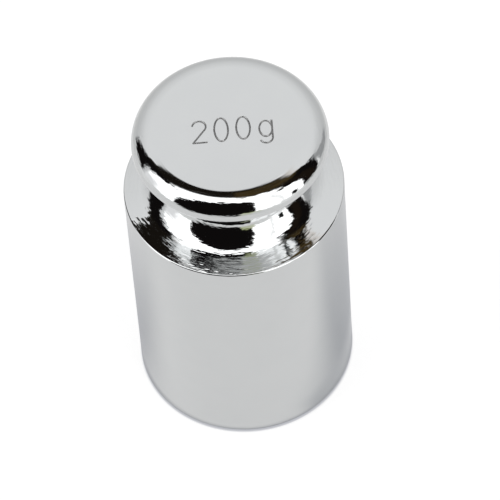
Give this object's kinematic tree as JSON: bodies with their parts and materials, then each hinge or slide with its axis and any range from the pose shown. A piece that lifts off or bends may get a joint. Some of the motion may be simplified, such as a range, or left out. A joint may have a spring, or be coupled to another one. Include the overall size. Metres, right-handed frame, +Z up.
{
  "type": "calibration weight",
  "caption": "Solid turned cylinder with a narrow waisted neck and a flat-topped round knob to lift it by, bright chrome finish, nominal mass marked on top.",
  "frame": {"origin": "centre of the flat base, on the surface that the weight stands on", "axes": "+Z up along the turning axis, from the base to the knob; the marking reads left to right along +X, with the top of its characters towards +Y"},
  "size_m": [0.028, 0.028, 0.0482],
  "materials": {
    "chrome": "bright chrome plating over turned and polished steel"
  },
  "bodies": {
    "root": {"weight": "chrome"}
  },
  "joints": []
}
